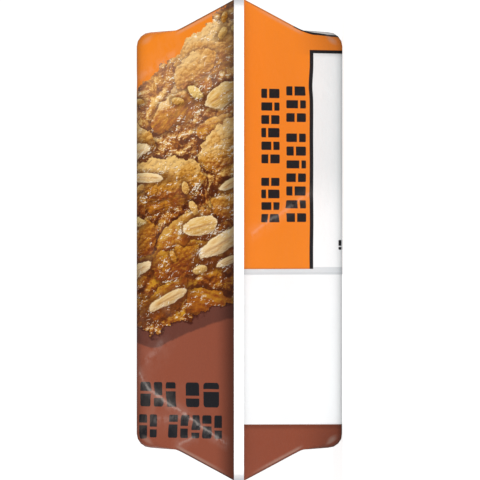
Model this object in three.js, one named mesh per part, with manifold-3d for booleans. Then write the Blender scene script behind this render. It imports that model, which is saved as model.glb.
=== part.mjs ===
// A snack bar sealed in its flow wrap. One printed film is folded round the bar, joined by a fin
// seal that lies flat along the back, and closed by a crimped seal at each end. The pack is shut,
// so it is one solid: the boxy body over the bar, the tapers with their tucked sides, and the seals.
//
// Millimetres. X runs along the bar, +Y to the upper long edge of the front panel, and +Z out of
// the front panel. The pack lies on its back panel, and the origin is the middle of its footprint.

import * as THREE from "three";
import { mergeVertices } from "three/addons/utils/BufferGeometryUtils.js";
import Module from "manifold-3d";

// ---------- Driving dimensions ----------

const PACK_LENGTH = 150; // from cut edge to cut edge
const PACK_THICKNESS = 21;
const BODY_WIDTH = 42.4; // between the body's long edges
const SIDE_CROWN = 0.4; // how far a side of the body bulges past them
const EDGE_RADIUS = 1.45; // of the body's long edges
const FOLD_RADIUS = 0.3; // of the same edges where the film is folded sharply, in the tapers

const SEAL_WIDTH = 48.9;
const SEAL_DEPTH = 10; // along X
const SEAL_THICKNESS = 1; // over the crests of the crimp
const CRIMP_COUNT = 7; // ridges across each seal, parallel to its cut edge
const CRIMP_RELIEF = 0.2; // height of a ridge on each face
const TOOTH_COUNT = 30; // of the zigzag cut edge
const TOOTH_DEPTH = 0.9;

const TAPER_LENGTH = 11; // from the root of a seal to the full thickness
const SHOULDER_RADIUS = 2.4; // where a taper meets the body
const ROOT_RADIUS = 1.6; // where a taper meets its seal
const FLARE_START = 6.6; // half thickness at which the taper's edges start to spread to the seal
const FLARE_ROUNDING = 0.25;
const PLEAT_COUNT = 6; // shallow gathers across each panel of a taper
const PLEAT_DEPTH = 0.18;

const FIN_EDGE_Y = -3.5; // free edge of the fin seal on the back panel
const FIN_STEP = 0.15; // thickness of the folded fin

// ---------- Worked out from them ----------

const BODY_HALF = PACK_THICKNESS / 2;
const SEAL_HALF = SEAL_THICKNESS / 2;
const ROOT_HALF = SEAL_HALF / 2; // the taper's half thickness where it ends inside the seal
const ROOT_HALF_WIDTH = SEAL_WIDTH / 2 - 0.05; // and half its width there
const ROOT_OVERLAP = 0.8; // how far it reaches into the seal
const FLARE_SLOPE = (ROOT_HALF_WIDTH - BODY_WIDTH / 2) / (FLARE_START - ROOT_HALF);

// How finely the loft is divided.
const PANEL_STEPS = 24;
const CORNER_STEPS = 3;
const SIDE_STEPS = 8; // even, so that one point lies on the fold of the tuck
const RAMP_STEPS = 7;
const BEND_STEPS = 4;
const BODY_STEPS = 6;

const wasm = await Module();
wasm.setup();

const { lerp, smoothstep, clamp } = THREE.MathUtils;

// ---------- Between three.js geometry and solids ----------

function solidFrom(geometry) {
  const bare = geometry.clone();
  bare.deleteAttribute("normal");
  bare.deleteAttribute("uv");
  const merged = mergeVertices(bare, 1e-4);
  return new wasm.Manifold(
    new wasm.Mesh({
      numProp: 3,
      vertProperties: new Float32Array(merged.attributes.position.array),
      triVerts: new Uint32Array(merged.index.array),
    }),
  );
}

function geometryFrom(solid) {
  const { vertProperties, triVerts } = solid.getMesh();
  const indexed = new THREE.BufferGeometry();
  indexed.setAttribute("position", new THREE.BufferAttribute(vertProperties, 3));
  indexed.setIndex(new THREE.BufferAttribute(triVerts, 1));
  const geometry = indexed.toNonIndexed(); // flat faces
  geometry.computeVertexNormals();
  return geometry;
}

// ---------- The body and its tapers ----------

// The taper seen from the side, from inside the seal to the body: x is the distance from the
// seal's root, and y is half the pack's thickness there.
function taperProfile() {
  const start = new THREE.Vector2(-ROOT_OVERLAP, ROOT_HALF);
  const root = new THREE.Vector2(0, ROOT_HALF);
  const shoulder = new THREE.Vector2(TAPER_LENGTH, BODY_HALF);
  const slope = shoulder.clone().sub(root).normalize();
  const along = new THREE.Vector2(1, 0);
  const bendLength = (radius) => radius * Math.tan(slope.angle() / 2);
  const beforeRoot = root.clone().addScaledVector(along, -bendLength(ROOT_RADIUS));
  const afterRoot = root.clone().addScaledVector(slope, bendLength(ROOT_RADIUS));
  const beforeShoulder = shoulder.clone().addScaledVector(slope, -bendLength(SHOULDER_RADIUS));
  const afterShoulder = shoulder.clone().addScaledVector(along, bendLength(SHOULDER_RADIUS));
  return [
    start,
    ...new THREE.QuadraticBezierCurve(beforeRoot, root, afterRoot).getPoints(BEND_STEPS),
    ...new THREE.LineCurve(afterRoot, beforeShoulder).getPoints(RAMP_STEPS).slice(1, -1),
    ...new THREE.QuadraticBezierCurve(beforeShoulder, shoulder, afterShoulder).getPoints(BEND_STEPS),
  ];
}

// Half the distance between the long edges where the pack is 2 * half thick.
function edgeY(half) {
  const spread = Math.log(1 + Math.exp((FLARE_START - half) / FLARE_ROUNDING));
  return BODY_WIDTH / 2 + FLARE_SLOPE * FLARE_ROUNDING * spread;
}

// How far the middle of a side is tucked in where the pack is 2 * half thick: the film keeps its
// length round the pack, so what the panels don't take folds inwards as a V.
function tuckDepth(half) {
  const sideFilm = BODY_HALF - (edgeY(half) - BODY_WIDTH / 2); // from a long edge to the fold
  return Math.sqrt(Math.max(0, sideFilm ** 2 - half ** 2));
}

// The outline across the pack where it is 2 * half thick, as [y, z] about its middle, anticlockwise
// seen from +X: front panel, side, back panel, side.
function section(half) {
  const towardsSeal = clamp((BODY_HALF - half) / (BODY_HALF - ROOT_HALF), 0, 1);
  const folded = Math.min(FOLD_RADIUS, half / 2);
  const radius = lerp(EDGE_RADIUS, folded, smoothstep(towardsSeal, 0, 0.4));
  const edge = edgeY(half);
  const panelHalf = edge - radius;
  const sideHalf = half - radius;
  const crown = SIDE_CROWN * (1 - smoothstep(towardsSeal, 0, 0.3));
  const tuck = tuckDepth(half);
  const gathered = PLEAT_DEPTH * Math.sin(Math.PI * towardsSeal);
  const pleat = (y) => (gathered * (1 + Math.cos((PLEAT_COUNT * Math.PI * y) / edge))) / 2;
  const finStep = FIN_STEP * smoothstep(half, ROOT_HALF, 2);

  const panel = (fromY, toY, steps, height) => {
    const points = [];
    for (let i = 0; i <= steps; i++) {
      const y = lerp(fromY, toY, i / steps);
      points.push([y, height(y)]);
    }
    return points;
  };
  const corner = (signY, signZ, quarter) => {
    const points = [];
    for (let i = 1; i < CORNER_STEPS; i++) {
      const turn = (quarter + i / CORNER_STEPS) * (Math.PI / 2);
      points.push([
        signY * panelHalf + radius * Math.cos(turn),
        signZ * sideHalf + radius * Math.sin(turn),
      ]);
    }
    return points;
  };
  const side = (sign) => {
    const points = [];
    for (let i = 0; i <= SIDE_STEPS; i++) {
      const level = sign * (1 - (2 * i) / SIDE_STEPS); // 1 at the front long edge, -1 at the back
      const out = crown * (1 - level ** 2) - tuck * (1 - Math.abs(level));
      points.push([-sign * (edge + out), level * sideHalf]);
    }
    return points;
  };
  return [
    ...panel(panelHalf, -panelHalf, PANEL_STEPS, (y) => half - pleat(y)),
    ...corner(-1, 1, 1),
    ...side(1),
    ...corner(-1, -1, 2),
    ...panel(-panelHalf, FIN_EDGE_Y, PANEL_STEPS / 2, (y) => pleat(y) + finStep - half),
    ...panel(FIN_EDGE_Y + FIN_STEP, panelHalf, PANEL_STEPS / 2, (y) => pleat(y) - half),
    ...corner(1, -1, 3),
    ...side(-1),
    ...corner(1, 1, 0),
  ];
}

// Skins a row of outlines with equal point counts, [{ x, outline }] in order of x, into one closed
// geometry with flat ends.
function loft(stations) {
  const count = stations[0].outline.length;
  const positions = stations.flatMap(({ x, outline }) => outline.flatMap(([y, z]) => [x, y, z]));
  const index = [];
  for (let i = 0; i + 1 < stations.length; i++) {
    for (let j = 0; j < count; j++) {
      const next = (j + 1) % count;
      const [a, b] = [i * count + j, i * count + next];
      const [c, d] = [b + count, a + count];
      index.push(a, b, c, a, c, d);
    }
  }
  const cap = (station, flip) => {
    const middle = positions.length / 3;
    positions.push(stations[station].x, 0, 0);
    for (let j = 0; j < count; j++) {
      const pair = [station * count + j, station * count + ((j + 1) % count)];
      index.push(middle, ...(flip ? pair.reverse() : pair));
    }
  };
  cap(0, true);
  cap(stations.length - 1, false);
  const geometry = new THREE.BufferGeometry();
  geometry.setAttribute("position", new THREE.Float32BufferAttribute(positions, 3));
  geometry.setIndex(index);
  return geometry;
}

function bodyGeometry() {
  const rootX = PACK_LENGTH / 2 - SEAL_DEPTH;
  const taper = taperProfile().map((p) => ({ x: p.x - rootX, outline: section(p.y) }));
  const bodyStart = taper[taper.length - 1].x;
  const middle = [];
  for (let i = 1; i < BODY_STEPS; i++) {
    middle.push({ x: lerp(bodyStart, -bodyStart, i / BODY_STEPS), outline: section(BODY_HALF) });
  }
  const otherTaper = taper.map(({ x, outline }) => ({ x: -x, outline })).reverse();
  return loft([...taper, ...middle, ...otherTaper]);
}

// ---------- The end seals ----------

// One seal in place at the +X end: ridges across it, and a zigzag cut edge.
function sealSolid() {
  const endX = PACK_LENGTH / 2;
  const rootX = endX - SEAL_DEPTH;
  const valley = SEAL_HALF - CRIMP_RELIEF;
  const landX = rootX - ROOT_OVERLAP / 2; // the flat land inside the taper
  const crimpStart = rootX + 0.6;
  const crimpEnd = endX - TOOTH_DEPTH - 0.4;
  const pitch = (crimpEnd - crimpStart) / CRIMP_COUNT;
  const face = [[landX, SEAL_HALF]];
  for (let i = 0; i < CRIMP_COUNT; i++) {
    const x = crimpStart + i * pitch;
    face.push([x, SEAL_HALF], [x + pitch * 0.25, valley]);
    face.push([x + pitch * 0.5, valley], [x + pitch * 0.75, SEAL_HALF]);
  }
  face.push([endX, SEAL_HALF]);
  const ridged = new THREE.Shape([
    ...face.map(([x, z]) => new THREE.Vector2(x, z)),
    ...face.reverse().map(([x, z]) => new THREE.Vector2(x, -z)),
  ]);
  const band = new THREE.ExtrudeGeometry(ridged, { depth: SEAL_WIDTH, bevelEnabled: false });
  band.rotateX(Math.PI / 2).translate(0, SEAL_WIDTH / 2, 0);

  const toothPitch = SEAL_WIDTH / TOOTH_COUNT;
  const cut = [];
  for (let i = 0; i <= 2 * TOOTH_COUNT; i++) {
    const y = -SEAL_WIDTH / 2 + (i * toothPitch) / 2;
    cut.push(new THREE.Vector2(i % 2 ? endX : endX - TOOTH_DEPTH, y));
  }
  const past = SEAL_WIDTH / 2 + toothPitch; // the cutter runs past the seal on every side
  cut[0].y -= toothPitch / 2;
  cut[cut.length - 1].y += toothPitch / 2;
  const knife = new THREE.ExtrudeGeometry(
    new THREE.Shape([...cut, new THREE.Vector2(endX + past, past), new THREE.Vector2(endX + past, -past)]),
    { depth: 4 * SEAL_THICKNESS, bevelEnabled: false },
  );
  knife.translate(0, 0, -2 * SEAL_THICKNESS);
  return solidFrom(band).subtract(solidFrom(knife));
}

// ---------- The pack ----------

const printedFilm = new THREE.MeshStandardMaterial({
  name: "printed_film",
  color: 0xf58526,
  roughness: 0.42,
  metalness: 0,
});

function wrapper() {
  const seal = sealSolid();
  const solid = solidFrom(bodyGeometry()).add(seal).add(seal.rotate([0, 0, 180]));
  const mesh = new THREE.Mesh(geometryFrom(solid), printedFilm);
  mesh.name = "wrapper";
  mesh.position.z = BODY_HALF;
  return mesh;
}

const pack = new THREE.Group();
pack.add(wrapper());

export default pack;
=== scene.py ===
import math

import bpy
import numpy as np
from mathutils import Matrix, Vector

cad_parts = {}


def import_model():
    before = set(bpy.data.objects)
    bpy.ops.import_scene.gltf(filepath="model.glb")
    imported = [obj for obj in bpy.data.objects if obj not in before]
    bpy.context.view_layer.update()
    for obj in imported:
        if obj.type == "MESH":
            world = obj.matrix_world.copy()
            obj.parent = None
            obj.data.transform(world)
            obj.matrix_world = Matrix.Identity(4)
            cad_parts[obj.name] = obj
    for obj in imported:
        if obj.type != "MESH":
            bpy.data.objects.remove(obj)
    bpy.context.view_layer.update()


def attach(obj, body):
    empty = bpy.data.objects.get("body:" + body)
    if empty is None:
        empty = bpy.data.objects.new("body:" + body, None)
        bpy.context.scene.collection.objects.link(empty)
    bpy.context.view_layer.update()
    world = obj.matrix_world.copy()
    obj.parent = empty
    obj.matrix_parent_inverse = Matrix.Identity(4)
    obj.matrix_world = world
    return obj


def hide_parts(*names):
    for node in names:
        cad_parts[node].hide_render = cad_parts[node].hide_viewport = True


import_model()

MM = 0.001

# ---------- The pack's sizes, in millimetres ----------

# As the solid has them.
PACK_LENGTH, PACK_THICKNESS, BODY_WIDTH = 150, 21, 42.4
SIDE_CROWN, EDGE_RADIUS = 0.4, 1.45
SEAL_WIDTH, SEAL_DEPTH, SEAL_THICKNESS = 48.9, 10, 1
CRIMP_COUNT, CRIMP_RELIEF = 7, 0.2
TOOTH_DEPTH = 0.9
TAPER_LENGTH, SHOULDER_RADIUS, ROOT_RADIUS = 11, 2.4, 1.6
FLARE_START, FLARE_ROUNDING = 6.6, 0.25
FIN_EDGE_Y = -3.5

# As thin film has them, finer than the solid.
FOLD_RADIUS = 0.1  # of the tapers' sharp edges
FIN_STEP = 0.04  # from the back panel to the fin seal that lies on it
FIN_EDGE_RUN = 0.05  # across the fin's free edge, in a seal
FIN_EDGE_FILM = 0.12  # of film round that edge
SEAL_EDGE_RADIUS = 0.12
SEAL_OFFSET = 0.055  # of the shown seal, towards the front panel
TUCK_BULGE = 0.12  # of a tucked side, as a share of how deep it is tucked

BODY_HALF, SEAL_HALF = PACK_THICKNESS / 2, SEAL_THICKNESS / 2
ROOT_HALF = SEAL_HALF / 2
ROOT_HALF_WIDTH = SEAL_WIDTH / 2 + 0.02
FLARE_SLOPE = (ROOT_HALF_WIDTH - BODY_WIDTH / 2) / (FLARE_START - ROOT_HALF)
END_X = PACK_LENGTH / 2
ROOT_X = END_X - SEAL_DEPTH
HALF_GIRTH = BODY_WIDTH + PACK_THICKNESS  # of film, half way round the pack
FAR_ROOT_S = 138  # of film, from one seal's root to the other's

# ---------- The film as a mesh ----------
#
# Every point of the film has two film coordinates in millimetres: s along the pack, 0 where the
# +X taper leaves its seal, and v round it, 0 in the middle of the front panel and positive towards
# the upper edge. The print is laid out in them.

TOOTH_STEPS = 4
PANEL_STEPS = 30 * TOOTH_STEPS  # across a panel, with 30 teeth
FIN_COLUMN = 51  # the column of the back panel that carries the fin's free edge
CORNER_STEPS, SIDE_STEPS = 4, 20
SEAL_ROWS, BODY_ROWS = 43, 132
ROOT_STEPS, RAMP_STEPS, SHOULDER_STEPS = 8, 36, 10
SHARP_ANGLE = math.radians(38)  # between faces that aren't shaded as one surface

TOOTH_REACH = 1.3  # from the cut edge: the film that the teeth move
CRIMP_FROM_ROOT, CRIMP_FROM_TEETH = 0.6, 0.4  # plain film on both sides of the ridges


def smoothstep(x, low, high):
    t = np.clip((x - low) / (high - low), 0, 1)
    return t * t * (3 - 2 * t)


def bezier(a, b, c, steps):
    t = np.linspace(0, 1, steps + 1)[:, None]
    return (1 - t) ** 2 * a + 2 * t * (1 - t) * b + t**2 * c


def taper_profile():
    """Rows of (distance from the seal's root, half thickness), from the root to the body."""
    root, shoulder = np.array([0, ROOT_HALF]), np.array([TAPER_LENGTH, BODY_HALF])
    slope = (shoulder - root) / np.linalg.norm(shoulder - root)
    half_turn = math.tan(math.atan2(slope[1], slope[0]) / 2)
    before_root = root - [ROOT_RADIUS * half_turn, 0]
    after_root = root + slope * ROOT_RADIUS * half_turn
    before_shoulder = shoulder - slope * SHOULDER_RADIUS * half_turn
    after_shoulder = shoulder + [SHOULDER_RADIUS * half_turn, 0]
    ramp = np.linspace(after_root, before_shoulder, RAMP_STEPS + 1)[1:-1]
    return np.concatenate(
        [
            bezier(before_root, root, after_root, ROOT_STEPS),
            ramp,
            bezier(before_shoulder, shoulder, after_shoulder, SHOULDER_STEPS),
        ]
    )


def seal_half(x):
    """Half the seal's thickness at x, over its ridges."""
    start, end = ROOT_X + CRIMP_FROM_ROOT, END_X - TOOTH_DEPTH - CRIMP_FROM_TEETH
    phase = np.clip((x - start) / (end - start), 0, 1) * CRIMP_COUNT
    return SEAL_HALF - CRIMP_RELIEF * (1 - np.cos(2 * np.pi * phase)) / 2


def stations():
    """Rows of (x, half thickness, s, 1 in a seal or 0) along the pack, from the +X cut edge."""
    seal_x = np.concatenate(
        [
            [END_X, END_X - TOOTH_DEPTH / 2, END_X - TOOTH_DEPTH],
            np.linspace(END_X - TOOTH_REACH, ROOT_X + CRIMP_FROM_ROOT, SEAL_ROWS),
            [ROOT_X],
        ]
    )
    seal = np.stack([seal_x, seal_half(seal_x), ROOT_X - seal_x, np.ones_like(seal_x)], axis=1)
    profile = taper_profile()
    profile = profile[profile[:, 1] > SEAL_HALF * 0.8]  # the rest is inside the seal
    x = ROOT_X - profile[:, 0]
    s = np.concatenate([[0], np.cumsum(np.hypot(*np.diff(profile, axis=0).T))])
    s += profile[0, 0]
    taper = np.stack([x, profile[:, 1], s, np.zeros_like(x)], axis=1)
    middle_x = np.linspace(x[-1], -x[-1], BODY_ROWS)[1:-1]
    middle_s = s[-1] + x[-1] - middle_x
    middle = np.stack([middle_x, np.full_like(middle_x, BODY_HALF), middle_s, 0 * middle_x], axis=1)
    near = np.concatenate([seal, taper])
    far = near[::-1] * [-1, 1, -1, 1]
    far[:, 2] += 2 * (s[-1] + x[-1])
    return np.concatenate([near, middle, far])


def edge_y(half):
    """How far from the middle a panel's edge lies, where the pack has this half thickness."""
    flare = FLARE_ROUNDING * np.logaddexp(0, (FLARE_START - half) / FLARE_ROUNDING)
    return BODY_WIDTH / 2 + FLARE_SLOPE * flare


def section(half, sealed):
    """The outline across the pack: columns of (y, z, v), from the front panel's upper edge."""
    to_seal = np.clip((BODY_HALF - half) / (BODY_HALF - ROOT_HALF), 0, 1)
    if sealed:
        edge, radius, crown, tuck, fin = SEAL_WIDTH / 2, SEAL_EDGE_RADIUS, 0, 0, 0
    else:
        edge = edge_y(half)
        folded = min(FOLD_RADIUS, half / 2)
        radius = EDGE_RADIUS + (folded - EDGE_RADIUS) * smoothstep(to_seal, 0, 0.4)
        crown = SIDE_CROWN * (1 - smoothstep(to_seal, 0, 0.3))
        film = BODY_HALF - (edge - BODY_WIDTH / 2)
        tuck = math.sqrt(max(0, film**2 - half**2))
        fin = FIN_STEP * smoothstep(half, SEAL_HALF, 2)
    panel, side = edge - radius, half - radius
    width = 1 if sealed else to_seal**2
    fin_y = FIN_EDGE_Y + (-panel + 2 * panel * FIN_COLUMN / PANEL_STEPS - FIN_EDGE_Y) * width
    fin_gap = FIN_STEP + (FIN_EDGE_RUN - FIN_STEP) * width

    turn = np.arange(1, CORNER_STEPS) / CORNER_STEPS * math.pi / 2
    level = 1 - 2 * np.arange(SIDE_STEPS + 1) / SIDE_STEPS
    fold = tuck * (1 - np.abs(level)) * (1 + TUCK_BULGE * np.abs(level))
    out = edge + crown * (1 - level**2) - fold
    side_v = edge + (1 - level) / 2 * (HALF_GIRTH - 2 * edge)

    front_y = np.linspace(panel, -panel, PANEL_STEPS + 1)
    under_y = np.linspace(-panel, fin_y, FIN_COLUMN + 1)
    over_y = np.linspace(fin_y + fin_gap, panel, PANEL_STEPS - FIN_COLUMN + 1)
    cos, sin = radius * np.cos(turn), radius * np.sin(turn)
    corner_v = edge + radius * (turn / (math.pi / 2) - 1)
    blocks = [
        (front_y, np.full_like(front_y, half), front_y),
        (-panel - sin, side + cos, -corner_v),
        (-out, level * side, -side_v),
        (-panel - cos, -side - sin, corner_v[::-1] - HALF_GIRTH),
        (under_y, np.full_like(under_y, fin - half), -HALF_GIRTH - under_y),
        (over_y, np.full_like(over_y, -half), HALF_GIRTH - over_y),
        (panel + sin, -side - cos, HALF_GIRTH - corner_v),
        (out[::-1], level[::-1] * side, side_v[::-1]),
        (panel + cos, side + sin, corner_v[::-1]),
    ]
    return np.stack([np.concatenate(column) for column in zip(*blocks)], axis=1)


FRONT_FILM, BACK_FILM, CUT_EDGE = 0, 1, 2  # the materials

COLUMNS = len(section(5, False))
FRONT = range(0, PANEL_STEPS + 1)
UNDER = PANEL_STEPS + 1 + 2 * (CORNER_STEPS - 1) + SIDE_STEPS + 1  # first column of the back panel
OVER = UNDER + FIN_COLUMN + 1  # first column of the fin's flap
BACK_END = OVER + PANEL_STEPS - FIN_COLUMN  # last column of the back panel


def waves(rng, count, wavelength, x, y):
    """A smooth random field from -1 to 1, of waves in random directions."""
    total = np.zeros_like(x)
    for _ in range(count):
        angle, phase = rng.uniform(0, 2 * np.pi, 2)
        k = 2 * np.pi / (wavelength * rng.uniform(0.7, 1.5))
        total += np.sin(k * (x * np.cos(angle) + y * np.sin(angle)) + phase)
    return total / count


def ridges(rng, wavelength, stretch, x, y):
    """Low sharp ridges of slack film, 1 on a crest and 0 beside it."""
    along = waves(rng, 5, wavelength, stretch * x, y)
    across = waves(rng, 5, wavelength, x, stretch * y)
    return np.clip(1 - 7 * np.minimum(np.abs(along), np.abs(across) + 0.04), 0, 1) ** 1.5


# Folds pressed into the film of the shown end: panel (1 front, -1 back), the line's (s, y)
# points, its width and depth in millimetres, and how strong a painted highlight it gets.
CREASES = [
    (
        1,
        [(14.6, -13.6), (13.3, -15.1), (10.7, -16.5), (7.4, -17.9), (4.6, -19.3), (1.6, -20.5)],
        0.36, 0.12, 0.3,
    ),
    (1, [(8.5, -20.7), (6.3, -20)], 0.36, 0.08, 0.2),
    (1, [(13.6, -12.3), (11.4, -10.6)], 0.9, 0.10, 0.10),
    (1, [(12.2, -18.4), (8.6, -17.9)], 0.7, 0.07, 0.10),
    (1, [(15.4, 16.2), (9.5, 18.9)], 0.9, 0.10, 0.10),
    (-1, [(1.5, 0.7), (10, 4.7)], 0.45, 0.10, 0.16),
    (-1, [(12.6, 15), (7.5, 16.6)], 1.0, 0.07, 0.0),
]


# How far the film lies in, in millimetres, for each thing that the bar and the folding leave in it.
LUMP_DEPTH, FINE_LUMP_DEPTH = 0.6, 0.2
GATHER_DEPTH = 0.035
SLACK_FRONT, SLACK_BACK, SLACK_SIDE = 0.2, 0.1, 0.12
SAG_DEPTH = 0.12
SLACK_RANGE = 15, 27  # film from a seal's root, over which slack and lumps grow to their full depth
SAG_RANGE = 16, 28
RIM_RANGE = 0.1, 1.8  # from a panel's edge, over which its dents do
SIDE_RIM_RANGE = 0.5, 3  # the same for the sides
PANEL_INSET = 0.2  # a panel's dents end this far inside its edge
TAPER_COSINE = 0.73  # of the tapers' slope
NEARLY = 0.02  # this close to the body's half thickness counts as it
SEED = 38


def line_distance(s, y, points):
    """How far (s, y) lies from the line, and how far along it, from 0 to 1."""
    nearest, along = np.full_like(s, 1e3), np.zeros_like(s)
    for i, ((s0, y0), (s1, y1)) in enumerate(zip(points, points[1:])):
        ds, dy = s1 - s0, y1 - y0
        part = np.clip(((s - s0) * ds + (y - y0) * dy) / (ds**2 + dy**2), 0, 1)
        away = np.hypot(s - s0 - part * ds, y - y0 - part * dy)
        along = np.where(away < nearest, (i + part) / (len(points) - 1), along)
        nearest = np.minimum(nearest, away)
    return nearest, along


BAKE_CORNER, BAKE_SIZE = [12, 65], 164  # of the flat film, in millimetres
CUT_CORNER, CUT_SIZE = 27, 60  # of the cut edges beside it


def film_mesh():
    rows = stations()
    outlines = [section(half, sealed) for _, half, _, sealed in rows]
    count = len(rows)
    y = np.array([o[:, 0] for o in outlines])
    z = np.array([o[:, 1] for o in outlines])
    v = np.array([o[:, 2] for o in outlines])
    x = np.repeat(rows[:, :1], COLUMNS, axis=1)
    s = np.repeat(rows[:, 2:3], COLUMNS, axis=1)
    half = rows[:, 1:2]
    sealed = rows[:, 3:4]

    # the zigzag cut edge
    tooth = np.ones(COLUMNS)
    tooth[FRONT] = np.abs(2 * ((np.arange(PANEL_STEPS + 1) / TOOTH_STEPS) % 1) - 1)
    back = np.concatenate([np.arange(FIN_COLUMN + 1), np.arange(FIN_COLUMN, PANEL_STEPS + 1)])
    tooth[UNDER : BACK_END + 1] = np.abs(2 * ((back / TOOTH_STEPS) % 1) - 1)
    near_cut = np.clip(1 - (END_X - np.abs(x)) / TOOTH_REACH, 0, 1)
    x = x - np.sign(x) * TOOTH_DEPTH * tooth * near_cut

    # what the bar and the folding leave in the film, always inwards
    rng = np.random.default_rng(SEED)
    front_or_back = np.sign(z) * (np.abs(y) < edge_y(half) - PANEL_INSET)
    on_taper = (1 - sealed) * (half < BODY_HALF - NEARLY)
    to_seal = np.clip((BODY_HALF - half) / (BODY_HALF - ROOT_HALF), 0, 1)
    rim = smoothstep(edge_y(half) - np.abs(y), *RIM_RANGE)
    from_end = np.minimum(s, FAR_ROOT_S - s)
    lumps = LUMP_DEPTH * np.clip(waves(rng, 9, 15, s, v), 0, 1)
    lumps += FINE_LUMP_DEPTH * np.clip(waves(rng, 12, 5, s, v), 0, 1)
    lumps *= (1 - to_seal) ** 2 * smoothstep(from_end, *SLACK_RANGE)
    gathers = GATHER_DEPTH * (1 + waves(rng, 7, 5.5, 0.25 * s, y)) * np.sin(np.pi * to_seal)
    dent = (lumps * (z > 0) + gathers) * rim * (1 - sealed)
    for panel, line, width, depth, _ in CREASES:
        away, along = line_distance(s, y + 0.25 * waves(rng, 4, 3, s, y), line)
        fold = np.exp(-((away / width) ** 2)) * np.sin(np.pi * np.clip(along, 0.08, 0.92))
        dent += depth * fold * (front_or_back == panel) * rim * (x > 0)
    tilt = np.where(on_taper > 0, TAPER_COSINE, 1.0)
    slack = smoothstep(from_end, *SLACK_RANGE) * (1 - ridges(rng, 17, 0.4, s, y + 200 * (z < 0)))
    dent += slack * np.where(z > 0, SLACK_FRONT, SLACK_BACK) * rim
    z = z - np.sign(z) * np.where(front_or_back != 0, dent / tilt, 0)
    side = (np.abs(y) >= edge_y(half) - PANEL_INSET) & (sealed == 0) & (half > BODY_HALF - NEARLY)
    sag = SAG_DEPTH * (1 + waves(rng, 8, 11, s, v)) * smoothstep(from_end, *SAG_RANGE)
    sag += SLACK_SIDE * smoothstep(from_end, *SLACK_RANGE) * (1 - ridges(rng, 13, 0.4, s, v))
    side_rim = smoothstep(BODY_HALF - np.abs(z), *SIDE_RIM_RANGE)
    y = y - np.sign(y) * np.where(side, sag * side_rim, 0)
    z = z + SEAL_OFFSET * smoothstep(x, ROOT_X - 2, ROOT_X + 1)

    points = np.stack([x, y, z + BODY_HALF], axis=-1).reshape(-1, 3) * MM

    # quads along the pack
    row = np.arange(count - 1)[:, None]
    column = np.arange(COLUMNS)[None, :]
    following = (column + 1) % COLUMNS
    corners = np.stack(
        [
            row * COLUMNS + column,
            row * COLUMNS + following,
            (row + 1) * COLUMNS + following,
            (row + 1) * COLUMNS + column,
        ],
        axis=-1,
    ).reshape(-1, 4)[:, ::-1]
    v_end = v[:, following[0]].copy()
    v_end[:, OVER - 1] = v[:, OVER - 1] - FIN_EDGE_FILM
    uv_quads = np.stack(
        [
            np.stack([s[:-1], v[:-1]], -1),
            np.stack([s[:-1], v_end[:-1]], -1),
            np.stack([s[1:], v_end[1:]], -1),
            np.stack([s[1:], v[1:]], -1),
        ],
        axis=2,
    ).reshape(-1, 4, 2)[:, ::-1]
    faces = [list(f) for f in corners]
    uvs = list(uv_quads)

    # the cut edges
    film_faces = len(faces)
    back_column = {k: UNDER + k for k in range(FIN_COLUMN + 1)}
    over_column = {k: OVER + k - FIN_COLUMN for k in range(FIN_COLUMN, PANEL_STEPS + 1)}
    for end, first in ((1, 0), (-1, (count - 1) * COLUMNS)):
        caps = []
        for k in range(PANEL_STEPS):  # from the -Y end
            a, b = PANEL_STEPS - k, PANEL_STEPS - k - 1
            columns = back_column if k < FIN_COLUMN else over_column
            caps.append([a, columns[k], columns[k + 1], b])
        caps.append([PANEL_STEPS - FIN_COLUMN, UNDER + FIN_COLUMN, OVER])
        caps.append(list(range(PANEL_STEPS, UNDER + 1)))
        caps.append([*range(BACK_END, COLUMNS), 0])
        for cap in caps:
            cap = cap if end > 0 else cap[::-1]
            faces.append([first + c for c in cap])
            uvs.append(np.array([[first // COLUMNS, y[0, c]] for c in cap]))

    mesh = bpy.data.meshes.new("printed_wrapper")
    mesh.from_pydata(points, [], faces)
    flat_uv = np.concatenate(uvs).astype(np.float32)
    layer = mesh.uv_layers.new(name="film")
    layer.data.foreach_set("uv", flat_uv.ravel())

    # the same film laid out flat without overlaps, for a bake, with the cut edges above it
    bake = flat_uv.copy()
    loops_of_film = film_faces * 4
    bake[:loops_of_film] = (flat_uv[:loops_of_film] + BAKE_CORNER) / BAKE_SIZE
    bake[loops_of_film:, 0] = (flat_uv[loops_of_film:, 1] + CUT_CORNER) / CUT_SIZE
    cut_z = np.concatenate([points[f][:, 2] for f in faces[film_faces:]]) / MM - BODY_HALF
    far_cut = np.concatenate([[f[0] >= COLUMNS] * len(f) for f in faces[film_faces:]])
    bake[loops_of_film:, 1] = 0.9 + 0.05 * far_cut + (cut_z + 0.6) * 0.02
    layer = mesh.uv_layers.new(name="OFBake")
    layer.data.foreach_set("uv", bake.ravel())

    index = np.full(len(faces), CUT_EDGE, dtype=np.int32)
    on_back = np.abs(uv_quads[:, :, 1]).max(axis=1) > HALF_GIRTH / 2 + 0.01
    index[:film_faces] = np.where(on_back, BACK_FILM, FRONT_FILM)
    mesh.polygons.foreach_set("material_index", index)
    mesh.polygons.foreach_set("use_smooth", np.ones(len(faces), dtype=bool))
    mesh.uv_layers["film"].active_render = True
    mesh.validate()
    mesh.update()
    mesh.set_sharp_from_angle(angle=SHARP_ANGLE)
    return mesh


# ---------- Node graphs written as formulas ----------


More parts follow.
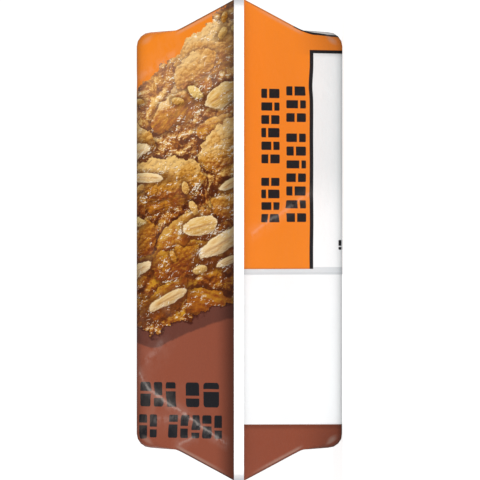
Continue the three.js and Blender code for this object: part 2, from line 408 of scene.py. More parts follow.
class Graph:
    """A node tree that nodes are added to; its methods give the nodes' results as Values."""

    def __init__(self, tree):
        self.tree = tree

    def node(self, kind, **settings):
        node = self.tree.nodes.new(kind)
        for key, value in settings.items():
            setattr(node, key, value)
        return node

    def put(self, socket, value):
        if isinstance(value, Value):
            self.tree.links.new(value.socket, socket)
        else:
            socket.default_value = value

    def math(self, operation, *values, clamp=False):
        node = self.node("ShaderNodeMath", operation=operation, use_clamp=clamp)
        for socket, value in zip(node.inputs, values):
            self.put(socket, value)
        return Value(self, node.outputs[0])

    def vector(self, x, y, z=0.0):
        node = self.node("ShaderNodeCombineXYZ")
        for socket, value in zip(node.inputs, (x, y, z)):
            self.put(socket, value)
        return Value(self, node.outputs[0])

    def split(self, vector):
        node = self.node("ShaderNodeSeparateXYZ")
        self.put(node.inputs[0], vector)
        return [Value(self, socket) for socket in node.outputs]

    def split_colour(self, colour):
        node = self.node("ShaderNodeSeparateColor")
        self.put(node.inputs[0], colour)
        return [Value(self, socket) for socket in node.outputs]

    def grey(self, level):
        node = self.node("ShaderNodeCombineColor")
        for socket in list(node.inputs)[:3]:
            self.put(socket, level)
        return Value(self, node.outputs[0])

    def step(self, value, low, high, smooth=True):
        """0 at low, 1 at high; low may be above high."""
        kind = "SMOOTHSTEP" if smooth else "LINEAR"
        node = self.node("ShaderNodeMapRange", interpolation_type=kind)
        for name, given in (("Value", value), ("From Min", low), ("From Max", high)):
            self.put(node.inputs[name], given)
        return Value(self, node.outputs[0])

    def mix(self, share, a, b, blend="MIX"):
        """Colour a where share is 0, b where it is 1."""
        node = self.node("ShaderNodeMix", data_type="RGBA", blend_type=blend)
        self.put(node.inputs[0], share)
        self.put(node.inputs[6], a)
        self.put(node.inputs[7], b)
        return Value(self, node.outputs[2])

    def noise(self, vector, scale, detail=2.0, roughness=0.5, distortion=0.0):
        node = self.node("ShaderNodeTexNoise", noise_dimensions="2D")
        self.put(node.inputs["Vector"], vector)
        for name, value in (
            ("Scale", scale),
            ("Detail", detail),
            ("Roughness", roughness),
            ("Distortion", distortion),
        ):
            self.put(node.inputs[name], value)
        return Value(self, node.outputs["Fac"])

    def voronoi(self, vector, cell, feature="F1", randomness=1.0):
        scale = 1.0 / cell  # before the node, because it makes one of its own
        node = self.node("ShaderNodeTexVoronoi", voronoi_dimensions="2D", feature=feature)
        self.put(node.inputs["Vector"], vector)
        self.put(node.inputs["Scale"], scale)
        node.inputs["Randomness"].default_value = randomness
        return node

    def out(self, node, name):
        return Value(self, node.outputs[name])

    def curve(self, value, low, high, points):
        """A line through points (value, result) with results from low to high."""
        start, end = points[0][0], points[-1][0]
        along = self.step(value, start, end, smooth=False)
        node = self.node("ShaderNodeFloatCurve")
        self.put(node.inputs["Value"], along)
        curve = node.mapping.curves[0]
        while len(curve.points) < len(points):
            curve.points.new(0.5, 0.5)
        for point, (at, result) in zip(curve.points, points):
            point.location = ((at - start) / (end - start), (result - low) / (high - low))
        node.mapping.update()
        return Value(self, node.outputs[0]) * (high - low) + low


class Value:
    """One result of a node, to calculate with."""

    def __init__(self, graph, socket):
        self.graph, self.socket = graph, socket

    def __add__(self, other):
        return self.graph.math("ADD", self, other)

    def __sub__(self, other):
        return self.graph.math("SUBTRACT", self, other)

    def __rsub__(self, other):
        return self.graph.math("SUBTRACT", other, self)

    def __mul__(self, other):
        return self.graph.math("MULTIPLY", self, other)

    def __truediv__(self, other):
        return self.graph.math("DIVIDE", self, other)

    def __rtruediv__(self, other):
        return self.graph.math("DIVIDE", other, self)

    def __abs__(self):
        return self.graph.math("ABSOLUTE", self)

    def below(self, other):
        return self.graph.math("LESS_THAN", self, other)

    def above(self, other):
        return self.graph.math("GREATER_THAN", self, other)

    def min(self, other):
        return self.graph.math("MINIMUM", self, other)

    def max(self, other):
        return self.graph.math("MAXIMUM", self, other)

    def cos(self):
        return self.graph.math("COSINE", self)

    def sin(self):
        return self.graph.math("SINE", self)

    def root(self):
        return self.graph.math("SQRT", self)

    def fract(self):
        return self.graph.math("FRACT", self)

    def clamp(self):
        return self.graph.math("ADD", self, 0.0, clamp=True)


class Group:
    """A node group written as a formula: build(graph, *inputs) gives its outputs by name."""

    def __init__(self, name, inputs, build):
        self.tree = bpy.data.node_groups.new(name, "ShaderNodeTree")
        for given in inputs:
            self.tree.interface.new_socket(given, in_out="INPUT", socket_type="NodeSocketFloat")
        g = Graph(self.tree)
        start = g.node("NodeGroupInput")
        results = build(g, *[Value(g, socket) for socket in start.outputs[: len(inputs)]])
        for name, value in results.items():
            kind = "NodeSocketColor" if value.socket.type == "RGBA" else "NodeSocketFloat"
            self.tree.interface.new_socket(name, in_out="OUTPUT", socket_type=kind)
        end = g.node("NodeGroupOutput")
        for socket, value in zip(end.inputs, results.values()):
            g.put(socket, value)
        self.names = list(results)

    def __call__(self, g, *values):
        node = g.node("ShaderNodeGroup", node_tree=self.tree)
        for socket, value in zip(node.inputs, values):
            g.put(socket, value)
        return {name: Value(g, node.outputs[name]) for name in self.names}


def rgb(red, green, blue):
    """A colour as a screen shows it, 0 to 255, in Blender's linear numbers."""
    channels = [c / 255 for c in (red, green, blue)]
    return (*[c / 12.92 if c <= 0.04045 else ((c + 0.055) / 1.055) ** 2.4 for c in channels], 1.0)


def new_material(name):
    material = bpy.data.materials.new(name)
    material.use_nodes = True
    graph = Graph(material.node_tree)
    shader = material.node_tree.nodes["Principled BSDF"]
    return material, graph, shader


# ---------- The print ----------

ORANGE = rgb(243, 133, 12)
BROWN = rgb(148, 77, 54)
BACK_BROWN = rgb(147, 73, 48)
INK = rgb(34, 34, 38)
WHITE = rgb(252, 254, 255)
MARGIN = rgb(222, 226, 229)

# The granola field on the front panel: its upper and lower edge, as (s, v).
FIELD_TOP = [
    (-12, 25), (0, 24.6), (1.8, 23.4), (4.7, 21.6), (7.7, 19.9), (11.5, 17.8), (14.9, 15.4),
    (24, 10.5), (48, 8), (66, 2), (74, -6), (80, -14),
]
FIELD_BOTTOM = [
    (-12, -5.5), (0.7, -6.5), (5.5, -7.6), (8.5, -8.5), (11.5, -9.4), (15, -9.1),
    (30, -11), (50, -12), (66, -10), (74, -6), (80, 2),
]


def field_depth_formula(g, s, v):
    """How far inside the granola field (s, v) lies, in millimetres across it."""
    top = g.curve(s, -30, 30, FIELD_TOP)
    bottom = g.curve(s, -30, 30, FIELD_BOTTOM)
    return {"depth": (top - v).min(v - bottom)}


FIELD_DEPTH = Group("granola_field", ["s", "v"], field_depth_formula)

# The picture is stretched along the pack by 1 / SQUEEZE; its light comes from LIGHT, as (s, v).
SQUEEZE = 0.72
LIGHT = (0.45, 0.85)
SCATTER = 0.62  # of the pieces in their cells, 0 for a grid

PIECE_INPUTS = [
    "s", "v", "cell", "length", "width", "turn", "spread", "chance", "shift_s", "shift_v", "ragged",
]


def pieces_formula(g, s, v, cell, length, width, turn, spread, chance, shift_s, shift_v, ragged):
    """A scatter of oval pieces, at most one for each cell: what the layer has at (s, v)."""
    ws, wv = s + shift_s, v + shift_v
    place = g.vector(ws, wv)
    found = g.voronoi(place, cell, randomness=SCATTER)
    random1, random2, random3 = g.split_colour(g.out(found, "Color"))
    cs, cv, _ = g.split(g.out(found, "Position"))
    edge = g.out(g.voronoi(place, cell, "DISTANCE_TO_EDGE", SCATTER), "Distance") * cell
    angle = turn + (random1 - 0.5) * spread
    cos, sin = angle.cos(), angle.sin()
    ds, dv = ws - cs, wv - cv
    scale = random2 * 0.5 + 0.75
    along = (ds * cos + dv * sin) / (scale * length)
    across = (dv * cos - ds * sin) / (scale * width)
    rough = g.noise(place, 0.8, 4.0, 0.6) - 0.5
    radius = (along * along + across * across).root() + rough * ragged
    depth = ((1.0 - radius) * width).min(edge - 0.04)
    centre = FIELD_DEPTH(g, (cs - shift_s) / SQUEEZE, cv - shift_v)["depth"]
    there = random3.below(chance) * centre.above(width * 0.2)
    lean_s = along * cos / length - across * sin / width
    lean_v = along * sin / length + across * cos / width
    light = (lean_s * LIGHT[0] + lean_v * LIGHT[1]) * width
    return {
        "mask": g.step(depth, 0.0, 0.07) * there,
        "shadow": g.step(depth, -0.55, 0.05) * there,
        "light": light.min(1.0).max(-1.0),
        "rim": g.step(depth, 0.3, 0.02),
        "along": along * length,
        "across": across * width,
        "random": random1,
        "tint": random2,
    }


PIECES = Group("pieces", PIECE_INPUTS, pieces_formula)


def relief_formula(g, s, v, scale, detail):
    """Light and shade, about -1 to 1, on a rough surface with bumps 1 / scale apart."""
    step = 0.22 / scale
    lit_place = g.vector(s + step * LIGHT[0], v + step * LIGHT[1])
    here = g.noise(g.vector(s, v), scale, detail, 0.62, 0.3)
    there = g.noise(lit_place, scale, detail, 0.62, 0.3)
    return {"light": (here - there) * 9.0}


def beads_formula(g, s, v, size):
    """Light and shade, about -1 to 1, on a bed of beads."""
    warp = g.noise(g.vector(s, v), 1.4, 2.0, 0.5) - 0.5
    bs, bv = s + warp * 0.8, v - warp * 0.6
    step = size * 0.22
    lit_place = g.vector(bs + step * LIGHT[0], bv + step * LIGHT[1])
    here = g.out(g.voronoi(g.vector(bs, bv), size), "Distance")
    there = g.out(g.voronoi(lit_place, size), "Distance")
    return {"light": (there - here) * 4.5}


RELIEF = Group("relief", ["s", "v", "scale", "detail"], relief_formula)
BEADS = Group("beads", ["s", "v", "size"], beads_formula)


SYRUP_SHADE = rgb(84, 36, 0)


def shaded(g, colour, light, strength=0.8):
    """The colour where light falls on it, above 0, or where it is in the shade, below 0."""
    colour = g.mix((light * strength).clamp(), colour, rgb(255, 226, 156))
    return g.mix((light * -strength).clamp(), colour, SYRUP_SHADE)


def fibres(g, layer, fineness, scale):
    """Streaks along a piece, different in each."""
    across = layer["across"] * fineness + layer["random"] * 40.0
    return g.noise(g.vector(layer["along"] * 0.5, across), scale, 3.0)


def granola(g, s, v, place):
    """The printed granola: syrup, crisp clusters, crumbs, oat flakes and nibs, one over another."""
    coarse = g.noise(place, 0.28, 4.0, 0.6, 0.8)
    patches = g.noise(g.vector(s + 40.0, v), 0.6, 3.0, 0.55, 0.4)
    lumps = RELIEF(g, s + 5.0, v, 0.5, 4.0)["light"]
    grit = RELIEF(g, s + 17.0, v, 2.3, 3.0)["light"]
    beads = BEADS(g, s, v, 0.46)["light"]
    lit = g.step(v, -3.0, 13.0)  # the upper pieces stand in the light
    tone = coarse + lumps * 0.12
    colour = g.mix(g.step(tone, 0.28, 0.5), rgb(112, 54, 4), rgb(172, 102, 4))
    colour = g.mix(g.step(tone, 0.48, 0.72), colour, rgb(204, 144, 16))
    colour = shaded(g, colour, lumps * 0.7 + grit * 0.35)

    def lay(colour, layer, own, shade=0.6):
        under = g.mix(layer["shadow"] * shade, colour, SYRUP_SHADE)
        return g.mix(layer["mask"], under, own)

    def scatter(cell, size, turn, chance, shift, ragged):
        return PIECES(g, s, v, cell, *size, *turn, chance, *shift, ragged)

    # syrupy golden pieces
    for cell, size, shift, chance in (
        (8.0, (3.9, 1.8), (3.0, 60.0), 0.9),
        (6.5, (3.0, 1.4), (71.3, 27.7), 0.8),
    ):
        layer = scatter(cell, size, (-0.3, 1.2), chance, shift, 0.7)
        fibre = fibres(g, layer, 2.0, 1.5)
        own = g.mix(g.step(fibre, 0.3, 0.7), rgb(164, 92, 0), rgb(216, 156, 16))
        own = g.mix(layer["tint"] * 0.5, own, rgb(186, 98, 0))
        own = shaded(g, own, layer["light"] * 0.7 + grit * 0.15 + lumps * 0.35)
        sheen = g.step(layer["light"] + (patches - 0.5) * 1.6, 0.6, 0.9)
        own = g.mix(sheen * 0.5, own, rgb(255, 238, 196))
        colour = lay(colour, layer, own)

    # crisp clusters, pale above and syrupy below
    for cell, size, shift, chance in (
        (9.0, (4.7, 2.5), (0.0, 0.0), 0.85),
        (7.0, (3.5, 1.8), (31.3, 17.7), 0.6),
    ):
        layer = scatter(cell, size, (-0.35, 0.9), chance, shift, 0.9)
        level = layer["light"] * 0.8 + (patches - 0.5) * 2.4
        level = level + (layer["tint"] - 0.5) * 0.5 + (lit - 0.4) * 0.7
        own = g.mix(g.step(level, -0.7, 0.05), rgb(166, 92, 0), rgb(206, 148, 36))
        own = g.mix(g.step(level, 0.05, 0.9), own, rgb(234, 202, 142))
        own = shaded(g, own, beads * 0.5 + layer["light"] * 0.3 + grit * 0.25, 0.7)
        colour = lay(colour, layer, own)

    # it is deep amber, and paler where it is lit
    depth = g.mix(lit, rgb(216, 176, 50), rgb(255, 242, 216))
    colour = g.mix(1.0, colour, depth, blend="MULTIPLY")
    colour = g.mix(g.step(v, 6.0, 18.0) * 0.17, colour, rgb(246, 200, 168))

    # crumbs
    layer = scatter(2.2, (0.8, 0.45), (-0.3, 3.0), 0.22, (12.1, 41.3), 0.9)
    own = g.mix(layer["tint"], rgb(194, 124, 10), rgb(238, 200, 120))
    colour = lay(colour, layer, shaded(g, own, layer["light"] + grit * 0.3))

    # oat flakes, with their furrow
    for cell, size, shift, chance, tint in (
        (9.5, (3.0, 0.85), (57.0, 23.1), 0.5, 0.0),
        (12.0, (2.5, 1.3), (83.9, 71.2), 0.35, 0.7),
        (7.0, (2.1, 0.55), (7.7, 93.4), 0.35, 0.2),
    ):
        layer = scatter(cell, size, (-0.25, 0.9), chance, shift, 0.55)
        fibre = fibres(g, layer, 3.0, 1.6)
        own = g.mix(layer["tint"] * 0.4 + tint, rgb(240, 206, 150), rgb(214, 156, 12))
        own = g.mix(g.step(fibre, 0.35, 0.7) * 0.4, own, rgb(252, 232, 190))
        own = g.mix(g.step(fibre, 0.5, 0.25) * 0.35, own, rgb(200, 124, 40))
        length, width = size
        furrow = g.step(abs(layer["across"]) / width, 0.2, 0.02)
        furrow = furrow * g.step(abs(layer["along"]) / length, 0.9, 0.4)
        own = g.mix(furrow * 0.5, own, rgb(164, 96, 40))
        own = g.mix(layer["rim"] * 0.4, own, rgb(255, 240, 206))
        colour = lay(colour, layer, shaded(g, own, layer["light"] * 0.5 + grit * 0.12), 0.7)

    # nibs of cocoa, and glints of syrup over all
    layer = scatter(19.0, (3.0, 2.2), (0.5, 2.0), 0.4, (44.0, 8.0), 0.3)
    own = g.mix(g.step(coarse, 0.3, 0.7), rgb(92, 58, 56), rgb(140, 102, 98))
    colour = lay(colour, layer, shaded(g, own, layer["light"] * 0.4 + grit * 0.3))
    glint = g.step(grit + lumps * 0.6, 0.85, 1.2) * g.step(patches, 0.45, 0.6)
    colour = g.mix(glint * 0.7, colour, rgb(255, 248, 232))
    return g.mix(g.step(v, 5.0, -7.0) * 0.2, colour, rgb(124, 66, 0))


def distance(a, b):
    """How long the step (a, b) is."""
    return (a * a + b * b).root()


def rounded_box(g, a, b, width, height, radius):
    """How far (a, b) lies inside a rounded box round the origin, in millimetres."""
    outer_a = abs(a) - (width / 2 - radius)
    outer_b = abs(b) - (height / 2 - radius)
    corner = distance(outer_a.max(0.0), outer_b.max(0.0))
    return radius - corner - outer_a.max(outer_b).min(0.0)


def sharp(g, inside):
    """1 where inside is above 0, with an edge as soft as a print has."""
    return g.step(inside, -0.03, 0.03)


def small_print_formula(g, along, across, start, end, low, high, count, fill):
    """A row of plain blocks, each split in two, where a pack has small print."""
    pitch, height = (end - start) / count, high - low
    on_row = (along - start) / pitch
    part = on_row.fract()
    beat = (part - 0.5) * pitch
    up = across - (low + high) / 2.0
    random1 = ((on_row - part) * 0.377 + low * 0.831).fract()
    random2 = (random1 * 7.31).fract()
    width = pitch * fill * (random2 * 0.25 + 0.8)
    inside = rounded_box(g, beat, up, width, height, width.min(height) * 0.16)
    slit = abs(up - (random1 - 0.5) * height * 0.45) - height * 0.055
    return {"mask": sharp(g, inside.min(slit)) * on_row.above(0.0) * on_row.below(count)}


PRINT_INPUTS = ["along", "across", "start", "end", "low", "high", "count", "fill"]
SMALL_PRINT = Group("small_print", PRINT_INPUTS, small_print_formula)


def small_print(g, along, across, rows):
    """Rows of (start, end, low, high, count, fill): 1 on their blocks and 0 beside them."""
    total = None
    for start, end, low, high, count, fill in rows:
        mask = SMALL_PRINT(g, along, across, start, end, low, high, float(count), fill)["mask"]
        total = mask if total is None else total.max(mask)
    return total


FRONT_DIVIDE = [(-12, 2), (20, 0), (60, -2), (100, -6), (128, -4), (150, -1)]  # orange over brown
FRONT_ROWS = [
    (8.9, 14.6, -16.95, -14.45, 3, 0.8),
    (2.4, 8.0, -16.95, -14.45, 2, 0.86),
    (11.7, 14.8, -20.1, -17.75, 2, 0.8),
    (1.9, 10.4, -20.1, -17.75, 5, 0.8),
    (16.4, 23.8, -16.95, -14.45, 4, 0.8),
    (16.4, 25.6, -20.1, -17.75, 5, 0.8),
]
PLATE_S, PLATE_V, PLATE_SIZE = 92.0, 5.5, (50.0, 17.0, 4.0)
PLATE_ROW = (74.0, 112.0, -15.6, -13.6, 9, 0.8)
PALE = rgb(250, 226, 180)


def front_print(g, s, v):
    squeezed = s * SQUEEZE
    place = g.vector(squeezed, v)
    wave = g.curve(s, -30, 30, FRONT_DIVIDE)
    colour = g.mix(g.step(v - wave, -0.08, 0.08), BROWN, ORANGE)
    depth = FIELD_DEPTH(g, s, v)["depth"]
    ragged = g.noise(place, 0.5, 5.0, 0.6) - 0.5
    below = FIELD_DEPTH(g, s - 0.6, v + 1.6 + ragged * 0.6)["depth"]
    colour = g.mix(g.step(below, -0.05, 0.2) * v.below(0.0), colour, rgb(108, 58, 45))
    edge = depth + ragged * 3.4
    colour = g.mix(g.step(edge, -0.35, 0.0) * v.below(4.0), colour, rgb(72, 26, 14))
    bar = granola(g, squeezed, v, place)
    # painted shade on the granola where the film turns round the shoulder
    bar = g.mix(g.step(s, 13.0, 14.4) * g.step(s, 18.5, 15.5) * 0.24, bar, rgb(60, 24, 8))
    colour = g.mix(g.step(edge, 0.0, 0.08), colour, bar)
    colour = g.mix(small_print(g, s, v, FRONT_ROWS), colour, INK)
    # a bare pale plate where a pack has its name
    plate = rounded_box(g, s - PLATE_S, v - PLATE_V, *PLATE_SIZE)
    colour = g.mix(sharp(g, plate), colour, PALE)
    colour = g.mix(sharp(g, plate - 1.0) - sharp(g, plate - 1.5), colour, BROWN)
    return g.mix(small_print(g, s, v, [PLATE_ROW]), colour, PALE)


# The fields of the back panel, by y: brown, white, a grey strip, and orange with a framed box.
WHITE_LOW, WHITE_LOW_SLOPE, TAPER_FILM = -18.62, -0.0113, 15.0
STRIP_LOW, ORANGE_LOW = -3.52, -2.94
BOX_S, BOX_Y, BOX_CORNER = 69.0, -10.96, 0.02
BOX_SIZE, BOX_INNER_SIZE = (117.9, 60.56), (116.8, 59.9)
BACK_ROWS = [
    (14.2, 40.0, -1.0, 0.0, 24, 0.75),
    (43.0, 120.0, -1.0, 0.0, 70, 0.75),
    (17.0, 70.0, 14.6, 16.6, 26, 0.8),
    *[(17.0, 120.0 - (i * 37 % 23), 1.4 + i * 2.1, 2.4 + i * 2.1, 96 - i, 0.75) for i in range(6)],
    *[
        (20.0, 20.0 + count, low, low + 0.9, count, 0.75)
        for low, count in ((-6.6, 90), (-8.8, 84), (-11.0, 88), (-13.2, 60))
    ],
]
UPRIGHT_ROWS = [
    (1.6, 6.5, 2.82, 5.56, 4, 0.74),
    (7.55, 15.5, 2.82, 5.56, 6, 0.74),
    (1.6, 11.05, 6.57, 9.5, 7, 0.74),
    (11.75, 15.8, 6.57, 9.5, 3, 0.74),
]


def back_print(g, s, y, brown):
    in_white = y - s.min(TAPER_FILM) * WHITE_LOW_SLOPE - WHITE_LOW
    brown = g.mix(g.step(in_white, -0.65, -0.12) * 0.32, brown, rgb(60, 20, 10))
    colour = g.mix(in_white.above(0.0), brown, WHITE)
    colour = g.mix(y.above(STRIP_LOW), colour, MARGIN)
    # a painted shadow line along the fin's step, at the grey strip's lower edge
    colour = g.mix(g.step(abs(y + 3.36), 0.12, 0.02) * 0.12, colour, rgb(120, 122, 126))
    on_orange = y.above(ORANGE_LOW)
    colour = g.mix(on_orange, colour, ORANGE)
    # a painted shadow line on the orange beside the fin's edge
    colour = g.mix(g.step(y, -2.74, -2.88) * on_orange * 0.3, colour, rgb(120, 62, 4))
    box = rounded_box(g, s - BOX_S, y - BOX_Y, *BOX_SIZE, BOX_CORNER)
    colour = g.mix(sharp(g, box) * on_orange, colour, INK)
    inner = rounded_box(g, s - BOX_S, y - BOX_Y, *BOX_INNER_SIZE, BOX_CORNER)
    in_box = sharp(g, inner) * on_orange
    # painted shade: the framed box turns grey from its middle upwards
    tint = g.mix(g.step(y, 1.5, 8.0), WHITE, rgb(236, 239, 240))
    colour = g.mix(in_box, colour, tint)
    # the same painted shadow line in the framed box, beside the fin's edge
    colour = g.mix(g.step(y, -2.7, -2.8) * in_box, colour, MARGIN)
    rows = small_print(g, s, y, BACK_ROWS).max(small_print(g, y, s, UPRIGHT_ROWS))
    return g.mix(rows, colour, INK)


# The framed box on the sides: its lower edge lies on the pack's long edge, as (s, v).
SIDE_BOX_LOW = [
    (6, 41.3), (7.8, 41.86), (8.9, 42.2), (10.3, 42.5), (11.8, 42.69), (12.9, 42.83), (14, 42.96),
    (70, 42.96),
]
SIDE_BOX_TOP, SIDE_BOX_START, SIDE_BOX_FRAME = 34.2, 7.6, 0.2
SIDE_ROWS = [
    (24.0, 24.0 + count, low, low + 1.0, count, 0.75)
    for low, count in ((36.0, 92), (38.2, 85), (40.4, 60))
]


def side_print(g, s, v, near, brown):
    colour = g.mix(v.above(0.0), brown, ORANGE)
    inside = (g.curve(near, 38, 44, SIDE_BOX_LOW) - v).min(v - SIDE_BOX_TOP)
    inside = inside.min(near - SIDE_BOX_START)
    colour = g.mix(sharp(g, inside), colour, INK)
    panel = g.mix(g.step(inside, 0.35, 0.9), rgb(238, 238, 238), rgb(202, 203, 205))
    colour = g.mix(sharp(g, inside - SIDE_BOX_FRAME), colour, panel)
    return g.mix(small_print(g, s, v, SIDE_ROWS), colour, INK)


# ---------- Painted highlights and shade where the film folds ---

FOLD_Y, FOLD_SLOPE = 24.47, 0.351  # of the tapers' sharp folds, by the film from the seal's root
CORNER_GLINT = (13.5, 20.25)  # where a painted glint sits on a corner of the body, from the seal and the middle


def folds(g, colour, near, from_middle, pale, dark, corner_glint):
    """Painted highlights along the tapers' sharp folds and at the corners of the body, and a dark
    line just inside each fold, at both ends.
    """
    in_from_fold = FOLD_Y - near * FOLD_SLOPE - from_middle
    on_fold = g.step(near, 0.0, 0.8) * g.step(near, 9.4, 8.0)
    strip = g.step(in_from_fold, 0.18, 0.3) * g.step(in_from_fold, 0.68, 0.34)
    strip = strip * g.step(near, 0.5, 5.0)
    corner_s, corner_y = near - CORNER_GLINT[0], from_middle - CORNER_GLINT[1]
    # the painted glint: an oval, askew and longer along the corner
    along, across = corner_s * 0.72 - corner_y * 0.644, corner_s * 0.865 + corner_y * 2.145
    spot = g.step(distance(along, across), 1.0, 0.1)
    # a painted highlight strip along each fold and a painted glint at each corner
    colour = g.mix(strip * on_fold * pale + spot * corner_glint, colour, rgb(196, 178, 163))
    return g.mix(g.step(in_from_fold, 0.27, 0.17) * on_fold * dark, colour, rgb(72, 68, 66))


def shade(g, colour, share):
    """The colour times share, a number."""
    return g.mix(1.0, colour, g.grey(share), blend="MULTIPLY")


def crease_highlights(g, s, y, place, panel):
    """Painted highlights, whitish, along the folds of one panel."""
    total = None
    wobble = (g.noise(place, 0.8, 3.0, 0.6) - 0.5) * 0.5
    for side, line, width, _, white in CREASES:
        if side != panel or not white:
            continue
        nearest = None
        for (s0, y0), (s1, y1) in zip(line, line[1:]):
            ds, dy = s1 - s0, y1 - y0
            from_s, from_y = s - s0, y + wobble - y0
            part = ((from_s * ds + from_y * dy) / (ds**2 + dy**2)).clamp()
            away = distance(from_s - part * ds, from_y - part * dy)
            nearest = away if nearest is None else nearest.min(away)
        core, painted_sheen = g.step(nearest, width * 0.7, 0.0), g.step(nearest, width * 3.0, 0.0)
        mark = (core * 0.65 + painted_sheen * 0.25) * white
        total = mark if total is None else total.max(mark)
    patchy = g.noise(place, 1.1, 4.0, 0.7)
    return total * g.step(patchy, 0.25, 0.6)


def film_material(name):
    """A material with its graph, its shader, and the film coordinates s and v, also as a vector."""
    material, g, shader = new_material(name)
    uv = Value(g, g.node("ShaderNodeUVMap", uv_map="film").outputs["UV"])
    s, v, _ = g.split(uv)
    return material, g, shader, uv, s, v


# Painted shade: the share of its colour that the print keeps, by the distance from the nearer seal.
# It is darker where the film turns round the shoulders, and on the back beside the seals.
FRONT_PAINTED_SHADE = [
    (13.2, 1), (14.2, 0.87), (14.6, 0.78), (15.1, 0.71), (16.1, 0.68), (16.9, 0.86), (18.2, 1),
]
BACK_PAINTED_SHADE = [
    (-0.6, 1), (-0.1, 0.84), (0.3, 0.85), (0.6, 0.93), (1.3, 1), (2.4, 1), (5, 0.95), (7, 0.93),
    (11.2, 0.93), (12.6, 0.9), (13.6, 0.85), (14.4, 0.73), (15.1, 0.62), (16.1, 0.58), (16.9, 0.8),
    (18.2, 1),
]


def front_film():
    material, g, shader, place, s, v = film_material("printed_film_front")
    near, from_middle = s.min(FAR_ROOT_S - s), abs(v)
    colour = front_print(g, s, v)
    # painted highlights along the front's creases
    colour = g.mix(crease_highlights(g, s, v, place, 1), colour, rgb(246, 232, 222))
    # painted highlights at the folds and at the body's corners
    colour = folds(g, colour, near, from_middle, 0.3, 0.66, 0.2)
    # painted sheen: faint pale cloudy patches over the +X taper and shoulder
    sheen_patches = g.step(g.noise(g.vector(s, v * 0.7), 0.3, 4.0, 0.6, 0.5), 0.48, 0.75)
    painted_sheen = sheen_patches * g.step(s, 6.0, 11.0) * g.step(s, 22.0, 15.0)
    colour = g.mix(painted_sheen * 0.04, colour, rgb(255, 226, 200))
    # painted shade where the film turns round the shoulders
    share = g.curve(near, 0, 1.02, FRONT_PAINTED_SHADE)
    colour = shade(g, colour, share)
    # painted shade where the film turns into the seal: the print is made dark there
    turn = g.step(s, 3.4, 0.1) * g.step(s, -1.6, -0.2) * from_middle.below(24.6)
    colour = g.mix(turn * 0.7, colour, rgb(30, 10, 6))
    satin(g, shader, colour, place, s, v, near)
    return material


def back_film():
    material, g, shader, place, s, v = film_material("printed_film_back")
    near, around = s.min(FAR_ROOT_S - s), abs(v)
    from_middle = HALF_GIRTH - around
    back_y = (v.above(0.0) * 2.0 - 1.0) * from_middle
    on_panel = g.step(around, 34.0, 43.0)
    brown = g.mix(on_panel, BROWN, BACK_BROWN)
    panel = back_print(g, s, back_y, brown)
    colour = g.mix(around.below(44.0), panel, side_print(g, s, v, near, brown))
    # painted highlights along the back's creases
    colour = g.mix(crease_highlights(g, s, back_y, place, -1), colour, rgb(250, 236, 226))
    # painted highlights at the folds and at the body's corners
    colour = folds(g, colour, near, from_middle, 0.3, 0.42, 0.36)
    # painted shade: the print is made a little darker beside the seals, round the shoulders and at
    # the body's corners
    panel_painted_shade = g.curve(near, 0, 1.02, BACK_PAINTED_SHADE)
    side_painted_shade = g.curve(near, 0, 1.02, FRONT_PAINTED_SHADE)
    corner = g.step(distance(near - 14.2, from_middle - 21.5), 7.5, 0.6)
    corner = corner * g.step(from_middle, 18.5, 19.1)
    share = side_painted_shade + (panel_painted_shade * (1.0 - corner * 0.3) - side_painted_shade) * on_panel
    colour = shade(g, colour, share)
    satin(g, shader, colour, place, s, v, near)
    return material


def satin(g, shader, colour, place, s, v, near):
    """Printed plastic film: a satin gloss over the print, a little uneven, slack round the bar."""
    g.put(shader.inputs["Base Color"], colour)
    uneven = g.noise(place, 0.35, 3.0, 0.5)
    g.put(shader.inputs["Roughness"], uneven * 0.16 + 0.31)
    shader.inputs["Specular IOR Level"].default_value = 0.3
    ripple = g.noise(place, 0.7, 3.0, 0.55) + g.noise(place, 9.0, 2.0, 0.5) * 0.06
    slack = g.step(near, 15.0, 24.0)
    for along, scale, height in ((0.45, 0.13, 14.0), (1.3, 0.09, 12.0)):
        wave = g.noise(g.vector(s * along, v + scale * 300.0), scale, 2.0, 0.45, 0.5)
        ripple = ripple - abs(wave - 0.5) * slack * height
    bump = g.node("ShaderNodeBump")
    bump.inputs["Strength"].default_value = 0.35
    bump.inputs["Distance"].default_value = 0.0002
    g.put(bump.inputs["Height"], ripple)
    g.put(shader.inputs["Normal"], Value(g, bump.outputs[0]))


def cut_film():
    material, g, shader = new_material("cut_film")
    _, y, _ = g.split(Value(g, g.node("ShaderNodeUVMap", uv_map="film").outputs["UV"]))
    # painted shade: the cut edge turns grey towards the seal's tips, with a wobbly border
    tip_shade_wobble = g.noise(g.vector(y, 0.0), 2.0, 3.0)
    colour = g.mix(g.step(abs(y) + tip_shade_wobble * 0.6, 23.1, 24.6), rgb(255, 255, 255), rgb(186, 186, 190))
    g.put(shader.inputs["Base Color"], colour)
    shader.inputs["Roughness"].default_value = 0.6
    shader.inputs["Specular IOR Level"].default_value = 0.2
    return material


wrapper = bpy.data.objects.new("printed_wrapper", film_mesh())
bpy.context.scene.collection.objects.link(wrapper)
for film in (front_film(), back_film(), cut_film()):  # in the order of the faces' indices
    wrapper.data.materials.append(film)
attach(wrapper, "root")
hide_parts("wrapper")

# ---------- Floor, light and camera ----------


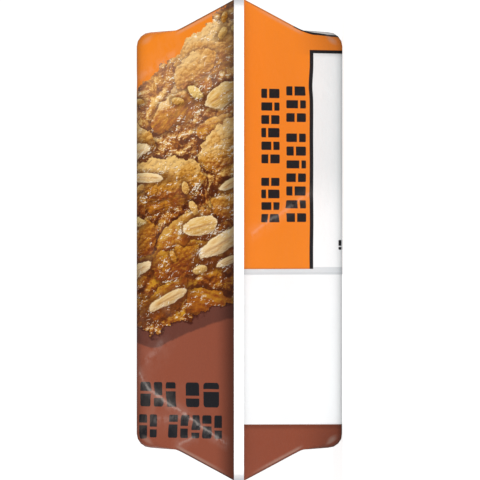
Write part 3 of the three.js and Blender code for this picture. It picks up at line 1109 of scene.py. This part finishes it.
def floor():
    """A pale floor that shows as white and lights the pack from below as a white one does."""
    mesh = bpy.data.meshes.new("floor")
    mesh.from_pydata([(-4, -4, 0), (4, -4, 0), (4, 4, 0), (-4, 4, 0)], [], [(0, 1, 2, 3)])
    plane = bpy.data.objects.new("floor", mesh)
    bpy.context.scene.collection.objects.link(plane)
    material, g, shader = new_material("floor")
    shader.inputs["Base Color"].default_value = (0.3, 0.3, 0.3, 1)
    shader.inputs["Roughness"].default_value = 0.9
    shader.inputs["Specular IOR Level"].default_value = 0.0
    shader.inputs["Emission Color"].default_value = (1, 1, 1, 1)
    path = g.node("ShaderNodeLightPath")
    glow = g.out(path, "Is Camera Ray") * 0.83 + g.out(path, "Is Diffuse Ray") * 0.88
    g.put(shader.inputs["Emission Strength"], glow)
    mesh.materials.append(material)


def world():
    """A white studio; gloss sees its walls and not its ceiling."""
    made = bpy.data.worlds.new("studio")
    made.use_nodes = True
    bpy.context.scene.world = made
    g = Graph(made.node_tree)
    _, _, up = g.split(Value(g, g.node("ShaderNodeTexCoord").outputs["Generated"]))
    walls = g.step(abs(up), 0.5, 0.1) * 0.6 + 0.08
    path = g.node("ShaderNodeLightPath")
    on_gloss = g.out(path, "Is Glossy Ray")
    strength = (g.out(path, "Is Camera Ray") * 0.35 + 0.75) * (1.0 - on_gloss) + walls * on_gloss
    g.put(made.node_tree.nodes["Background"].inputs["Strength"], strength)
    made.node_tree.nodes["Background"].inputs["Color"].default_value = (1, 1, 1, 1)


def area_light(name, place, size, power):
    """A soft light that shines on the pack from place and that nothing mirrors."""
    data = bpy.data.lights.new(name, "AREA")
    data.shape, data.energy = "RECTANGLE", power
    data.size, data.size_y = size
    light = bpy.data.objects.new(name, data)
    light.location = place
    light.rotation_mode = "QUATERNION"
    light.rotation_quaternion = (-Vector(place)).to_track_quat("-Z", "Y")
    light.visible_camera = light.visible_glossy = False
    bpy.context.scene.collection.objects.link(light)


PICTURE_WIDTH = 48  # millimetres at the cut edge
PICTURE_MIDDLE_Z = 0.01045


def camera():
    data = bpy.data.cameras.new("camera")
    data.lens, data.sensor_width = 800, 36
    data.clip_start, data.clip_end = 0.01, 100
    made = bpy.data.objects.new("camera", data)
    # it looks at the +X end, with the pack's +Y edge up in the picture
    away = PICTURE_WIDTH * MM / data.sensor_width * data.lens
    made.matrix_world = Matrix(
        ((0, 0, 1, END_X * MM + away), (0, 1, 0, 0), (-1, 0, 0, PICTURE_MIDDLE_Z), (0, 0, 0, 1))
    )
    bpy.context.scene.collection.objects.link(made)
    bpy.context.scene.camera = made
    bpy.context.scene.view_settings.view_transform = "Standard"


floor()
world()
area_light("front_box", (1.5, 0, 0.45), (1.2, 0.9), 9)
camera()
